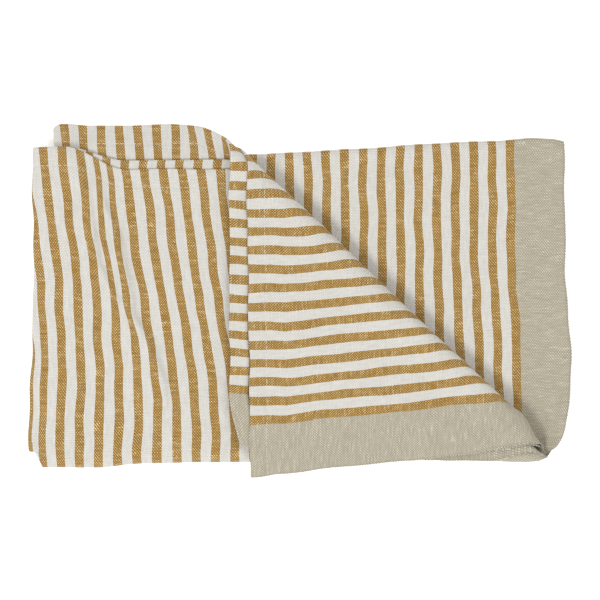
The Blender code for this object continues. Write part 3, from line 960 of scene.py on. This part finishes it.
def cloth_material():
    """Plain weave: ochre, off-white and greige warp yarns crossed by an off-white weft."""
    material = bpy.data.materials.new("striped_linen")
    material.use_nodes = True
    tree = material.node_tree
    sums = Sums(tree)
    do = sums.do
    mix = sums.mix
    noise = sums.noise
    vector = sums.vector
    flat = node(tree, "ShaderNodeUVMap", uv_map="flat").outputs[0]
    place = node(tree, "ShaderNodeSeparateXYZ", (flat,))
    raw_across = sums.in_millimetres(place.outputs[0])
    raw_along = sums.in_millimetres(place.outputs[1])

    # The yarns wander a little.
    wander_across = noise(vector(raw_across, raw_along, 0.0), WANDER_ACROSS)
    wander_along = noise(vector(raw_along, raw_across, WANDER_PLANE), WANDER_ALONG)
    across = do("ADD", raw_across, mix(wander_across, -WANDER, WANDER))
    along = do("ADD", raw_along, mix(wander_along, -WANDER, WANDER))

    # Which yarn it is, counted from the first ochre one and from the hem.
    warp = do("DIVIDE", do("SUBTRACT", across, BAND_WIDTH / MM), WARP_YARN)
    weft = do("DIVIDE", along, WEFT_YARN)
    warp_number = do("FLOOR", warp)
    weft_number = do("FLOOR", weft)
    weft_hump = sums.hump(weft)

    # Each yarn's own thickness and shade, which change along it.
    warp_change = do("MULTIPLY", along, YARN_CHANGE)
    warp_place = vector(do("MULTIPLY", warp_number, WARP_STEP), warp_change, 0.0)
    weft_change = do("MULTIPLY", across, YARN_CHANGE)
    weft_place = vector(do("MULTIPLY", weft_number, WEFT_STEP), weft_change, WEFT_PLANE)
    warp_body = noise(warp_place, 1.0, YARN_DETAIL)
    weft_body = noise(weft_place, 1.0, YARN_DETAIL)

    # Each yarn goes over one crossing yarn and under the next, and the higher of the two shows.
    warp_high = do("MULTIPLY", sums.hump(warp), sums.over_and_under(weft, warp_number))
    weft_high = do("MULTIPLY", weft_hump, sums.over_and_under(warp, do("ADD", weft_number, 1.0)))
    warp_high = do("ADD", warp_high, mix(warp_body, *WARP_LEAD))
    weft_high = do("ADD", weft_high, mix(weft_body, *WEFT_LEAD))
    warp_shows = do("GREATER_THAN", warp_high, weft_high)

    # The warp's colour: stripes between the two bands.
    last = REPEAT_YARNS * (STRIPE_COUNT - 1) + OCHRE_YARNS
    after_first = do("GREATER_THAN", warp_number, -0.5)
    striped = do("MULTIPLY", after_first, do("LESS_THAN", warp_number, last - 0.5))
    in_repeat = do("FLOORED_MODULO", warp_number, REPEAT_YARNS)
    ochre = do("LESS_THAN", in_repeat, OCHRE_YARNS - 0.5)
    ochre_shade = sums.colour(warp_body, OCHRE_DARK, OCHRE_LIGHT)
    white_shade = sums.colour(warp_body, WHITE_DARK, WHITE_LIGHT)
    greige_shade = sums.colour(warp_body, GREIGE_DARK, GREIGE_LIGHT)
    warp_colour = sums.colour(striped, greige_shade, sums.colour(ochre, white_shade, ochre_shade))
    tint = sums.colour(striped, OVER_GREIGE, sums.colour(ochre, OVER_WHITE, OVER_OCHRE))
    weft_colour = sums.colour(1.0, sums.colour(weft_body, WEFT_DARK, WEFT_LIGHT), tint, "MULTIPLY")
    colour = sums.colour(warp_shows, weft_colour, warp_colour)

    # Painted shade in the low gaps between yarns and between picks, and the ochre's own darker and
    # lighter patches.
    height = do("MAXIMUM", warp_high, weft_high)
    # Painted shade: darker where neither yarn stands high, and along the gaps between picks.
    painted_gap_shade = node(tree, "ShaderNodeMapRange", (height, *GAP_HEIGHTS, GAP_PAINTED_SHADE, 1.0)).outputs[0]
    painted_pick_shade = mix(weft_hump, PICK_PAINTED_SHADE, 1.0)
    patch_place = vector(do("MULTIPLY", across, PATCH_LONGER), along, PATCH_PLANE)
    patches = mix(noise(patch_place, PATCH_SCALE, YARN_DETAIL), *PATCH_SHADE)
    patches = mix(do("MULTIPLY", ochre, striped), 1.0, patches)
    # The painted shade and the ochre's patches, multiplied into the colour.
    painted_shade_and_patches = do("MULTIPLY", do("MULTIPLY", painted_gap_shade, painted_pick_shade), patches)
    colour = sums.colour(1.0, colour, sums.grey(painted_shade_and_patches), "MULTIPLY")

    bump = node(tree, "ShaderNodeBump")
    bump.inputs["Strength"].default_value = BUMP_STRENGTH
    bump.inputs["Distance"].default_value = BUMP_HEIGHT
    tree.links.new(height, bump.inputs["Height"])
    shader = tree.nodes["Principled BSDF"]
    tree.links.new(colour, shader.inputs["Base Color"])
    tree.links.new(bump.outputs[0], shader.inputs["Normal"])
    shader.inputs["Roughness"].default_value = 0.92
    shader.inputs["Specular IOR Level"].default_value = 0.25
    shader.inputs["Sheen Weight"].default_value = 0.15
    shader.inputs["Sheen Roughness"].default_value = 0.5
    return material


def thread_material():
    """Pale sewing thread, with fibres of two shades."""
    material = bpy.data.materials.new("sewing_thread")
    material.use_nodes = True
    tree = material.node_tree
    sums = Sums(tree)
    place = node(tree, "ShaderNodeTexCoord").outputs["Object"]
    fibre = sums.noise(place, THREAD_FIBRES, YARN_DETAIL)
    shader = tree.nodes["Principled BSDF"]
    tree.links.new(sums.colour(fibre, THREAD_DARK, THREAD_LIGHT), shader.inputs["Base Color"])
    shader.inputs["Roughness"].default_value = 0.7
    return material


def floor():
    """A white surface under the towel."""
    mesh = bpy.data.meshes.new("floor")
    half = FLOOR_SIZE / 2
    corners = [(-half, -half, 0.0), (half, -half, 0.0), (half, half, 0.0), (-half, half, 0.0)]
    mesh.from_pydata(corners, [], [(0, 1, 2, 3)])
    material = bpy.data.materials.new("pale_floor")
    material.use_nodes = True
    shader = material.node_tree.nodes["Principled BSDF"]
    shader.inputs["Base Color"].default_value = FLOOR_WHITE
    shader.inputs["Roughness"].default_value = 0.9
    shader.inputs["Emission Color"].default_value = FLOOR_WHITE
    shader.inputs["Emission Strength"].default_value = FLOOR_GLOW
    mesh.materials.append(material)
    plane = bpy.data.objects.new("floor", mesh)
    bpy.context.scene.collection.objects.link(plane)
    plane.location.z = -FLOOR_DROP


def camera():
    """Straight down, at the photograph's scale of half a millimetre for each pixel."""
    data = bpy.data.cameras.new("camera")
    data.sensor_width = SENSOR
    data.lens = SENSOR * CAMERA_HEIGHT / VIEW_WIDTH
    data.clip_end = CAMERA_SEES_TO
    made = bpy.data.objects.new("camera", data)
    bpy.context.scene.collection.objects.link(made)
    made.location = (-OUTLINE_MIDDLE[0], -OUTLINE_MIDDLE[1], CAMERA_HEIGHT)
    bpy.context.scene.camera = made


def area_light(name, place, size, energy):
    """A round lamp that points at the origin."""
    data = bpy.data.lights.new(name, "AREA")
    data.shape = "DISK"
    data.size = size
    data.energy = energy
    made = bpy.data.objects.new(name, data)
    made.location = place
    made.rotation_euler = (-Vector(place)).to_track_quat("-Z", "Y").to_euler()
    bpy.context.scene.collection.objects.link(made)


def lights():
    """A white surround and two lamps."""
    world = bpy.context.scene.world or bpy.data.worlds.new("studio")
    bpy.context.scene.world = world
    world.use_nodes = True
    sky = world.node_tree.nodes["Background"]
    sky.inputs["Color"].default_value = WORLD_WHITE
    sky.inputs["Strength"].default_value = WORLD_STRENGTH
    for name, place, size, energy in LIGHTS:
        area_light(name, place, size, energy)
    bpy.context.scene.view_settings.view_transform = "Standard"
    bpy.context.scene.cycles.denoising_prefilter = "NONE"


def main():
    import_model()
    camera()
    lights()
    floor()
    cloth = towel(cloth_material())
    thread = thread_material()
    stitches = hem_stitches(thread)
    loops = selvedge_loops(thread)
    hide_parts("towel_cloth")
    for piece in (cloth, stitches, loops):
        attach(piece, "root")


main()
